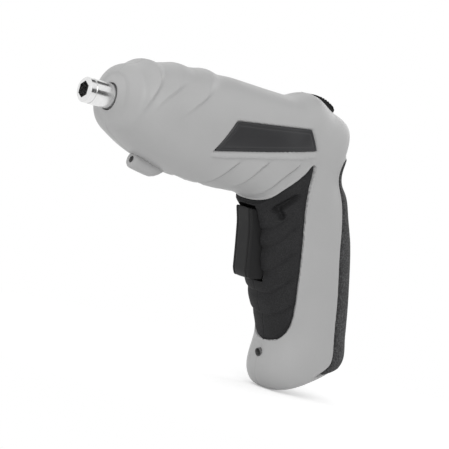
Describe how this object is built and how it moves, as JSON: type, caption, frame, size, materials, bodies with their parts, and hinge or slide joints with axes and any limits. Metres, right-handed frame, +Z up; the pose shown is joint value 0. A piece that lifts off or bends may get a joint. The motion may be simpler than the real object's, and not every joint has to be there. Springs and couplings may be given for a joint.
{
  "type": "electric screwdriver",
  "caption": "Pistol-shaped cordless electric screwdriver with a magnetic hex bit socket, planetary gear drive, trigger and thumb direction rocker.",
  "frame": {"origin": "mouth of the hex bit socket, on the spindle's axis", "axes": "+X rearward along the spindle, +Z up, the left side of the housing at -Y"},
  "size_m": [0.1698, 0.0434, 0.1344],
  "materials": {
    "shell": "fine moulded grey",
    "grip": "soft matt black",
    "strap": "mottled matt black",
    "panel": "dark inlaid, bare",
    "controls": "satin black",
    "collar": "bright plated steel",
    "lens": "clear moulded lens",
    "steel": "plain steel",
    "magnet": "dark ferrite",
    "bronze": "sintered bronze",
    "copper": "copper",
    "gear_plastic": "filled nylon",
    "switch_plastic": "black moulded",
    "board": "green laminate",
    "cell_sleeve": "shrink sleeve"
  },
  "bodies": {
    "root": {"housing_left": "shell", "housing_right": "shell", "grip_left": "grip", "grip_right": "grip", "back_strap": "strap", "label_plate_left": "panel", "label_plate_right": "panel", "led": "lens", "trigger_pin": "steel", "rocker_pin": "steel", "trigger_spring": "steel", "motor_screws": "steel", "housing_screws": "steel", "motor_can": "steel", "motor_plate": "steel", "thrust_washer": "steel", "cell_straps": "steel", "motor_magnets": "magnet", "spindle_bush": "bronze", "shaft_bushes": "bronze", "motor_brushes": "copper", "gear_case": "gear_plastic", "ring_gear": "gear_plastic", "motor_end_cap": "gear_plastic", "direction_switch": "switch_plastic", "trigger_switch": "switch_plastic", "charge_jack": "switch_plastic", "charge_board": "board", "cell_a": "cell_sleeve", "cell_b": "cell_sleeve", "cell_c": "cell_sleeve", "cell_d": "cell_sleeve"},
    "spindle": {"spindle": "collar", "socket_magnet": "magnet", "planet_pins_two": "steel"},
    "carrier": {"carrier_one": "steel", "planet_pins_one": "steel"},
    "rotor": {"rotor_shaft": "steel", "armature": "steel", "commutator": "copper", "motor_pinion": "steel"},
    "trigger": {"trigger": "controls"},
    "plunger": {"switch_plunger": "switch_plastic"},
    "rocker": {"direction_rocker": "controls"},
    "planet_one_a": {"planet_one_a": "steel"},
    "planet_one_b": {"planet_one_b": "steel"},
    "planet_one_c": {"planet_one_c": "steel"},
    "planet_two_a": {"planet_two_a": "steel"},
    "planet_two_b": {"planet_two_b": "steel"},
    "planet_two_c": {"planet_two_c": "steel"}
  },
  "joints": [
    {"name": "rotor_spin", "type": "hinge", "parent": "root", "child": "rotor", "pos_m": [0.07, 0, 0], "axis": [1, 0, 0], "continuous": true},
    {"name": "carrier_spin", "type": "hinge", "parent": "root", "child": "carrier", "pos_m": [0.043, 0, 0], "axis": [1, 0, 0], "continuous": true},
    {"name": "spindle_spin", "type": "hinge", "parent": "root", "child": "spindle", "pos_m": [0, 0, 0], "axis": [1, 0, 0], "continuous": true},
    {"name": "planet_one_a_spin", "type": "hinge", "parent": "carrier", "child": "planet_one_a", "pos_m": [0, 0.00825, 0], "axis": [1, 0, 0], "continuous": true},
    {"name": "planet_one_b_spin", "type": "hinge", "parent": "carrier", "child": "planet_one_b", "pos_m": [0, -0.00413, 0.00715], "axis": [1, 0, 0], "continuous": true},
    {"name": "planet_one_c_spin", "type": "hinge", "parent": "carrier", "child": "planet_one_c", "pos_m": [0, -0.00413, -0.00715], "axis": [1, 0, 0], "continuous": true},
    {"name": "planet_two_a_spin", "type": "hinge", "parent": "spindle", "child": "planet_two_a", "pos_m": [0, 0.00825, 0], "axis": [1, 0, 0], "continuous": true},
    {"name": "planet_two_b_spin", "type": "hinge", "parent": "spindle", "child": "planet_two_b", "pos_m": [0, -0.00413, 0.00715], "axis": [1, 0, 0], "continuous": true},
    {"name": "planet_two_c_spin", "type": "hinge", "parent": "spindle", "child": "planet_two_c", "pos_m": [0, -0.00413, -0.00715], "axis": [1, 0, 0], "continuous": true},
    {"name": "trigger_pull", "type": "hinge", "parent": "root", "child": "trigger", "pos_m": [0.1095, 0, -0.02803], "axis": [0, -1, 0], "range_deg": [0, 8], "stiffness_Nm_per_rad": 0.4, "springref_deg": -5.73, "deforming": ["trigger_spring"]},
    {"name": "plunger_slide", "type": "slide", "parent": "root", "child": "plunger", "axis": [0.9563, 0, 0.2924], "range_m": [0, 0.0021]},
    {"name": "direction_rock", "type": "hinge", "parent": "root", "child": "rocker", "pos_m": [0.1223, 0, 0.02025], "axis": [0, 1, 0], "range_deg": [0, 18]}
  ],
  "couplings": [
    {"joint": "carrier_spin", "follows": "rotor_spin", "ratio": 0.15},
    {"joint": "spindle_spin", "follows": "rotor_spin", "ratio": 0.0225},
    {"joint": "planet_one_a_spin", "follows": "rotor_spin", "ratio": -0.36429},
    {"joint": "planet_one_b_spin", "follows": "rotor_spin", "ratio": -0.36429},
    {"joint": "planet_one_c_spin", "follows": "rotor_spin", "ratio": -0.36429},
    {"joint": "planet_two_a_spin", "follows": "rotor_spin", "ratio": -0.054643},
    {"joint": "planet_two_b_spin", "follows": "rotor_spin", "ratio": -0.054643},
    {"joint": "planet_two_c_spin", "follows": "rotor_spin", "ratio": -0.054643},
    {"joint": "plunger_slide", "follows": "trigger_pull", "m_per_rad": 0.01425}
  ]
}
